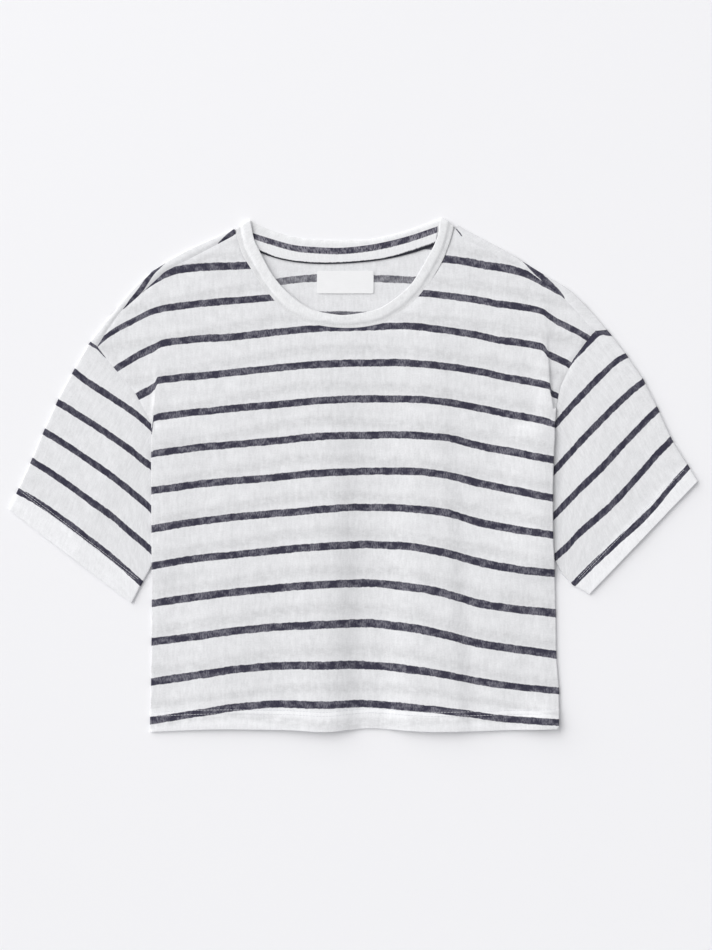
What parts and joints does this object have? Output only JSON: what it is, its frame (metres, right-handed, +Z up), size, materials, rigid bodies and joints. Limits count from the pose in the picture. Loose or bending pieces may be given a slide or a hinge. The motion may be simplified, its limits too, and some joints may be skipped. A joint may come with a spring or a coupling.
{
  "type": "crop top",
  "caption": "Boxy cropped T-shirt in striped jersey with dropped half-length sleeves and a scooped neckband, laid flat.",
  "frame": {"origin": "on the surface that the garment lies on, below the middle of the whole garment", "axes": "+X across the chest to the right of the view, +Y from the hem to the neck, +Z up from the surface through the front"},
  "size_m": [0.6879, 0.5146, 0.0059],
  "materials": {
    "striped_jersey": "matte light slub jersey, off-white with heathered navy stripes",
    "plain_jersey": "matte off-white jersey band",
    "neck_tape": "matte jersey tape with a navy edge",
    "label": "smooth blank woven label"
  },
  "bodies": {
    "root": {"front": "striped_jersey", "back": "striped_jersey", "sleeve_left": "striped_jersey", "sleeve_right": "striped_jersey", "neckband": "plain_jersey", "neck_tape": "neck_tape", "label": "label"}
  },
  "joints": []
}
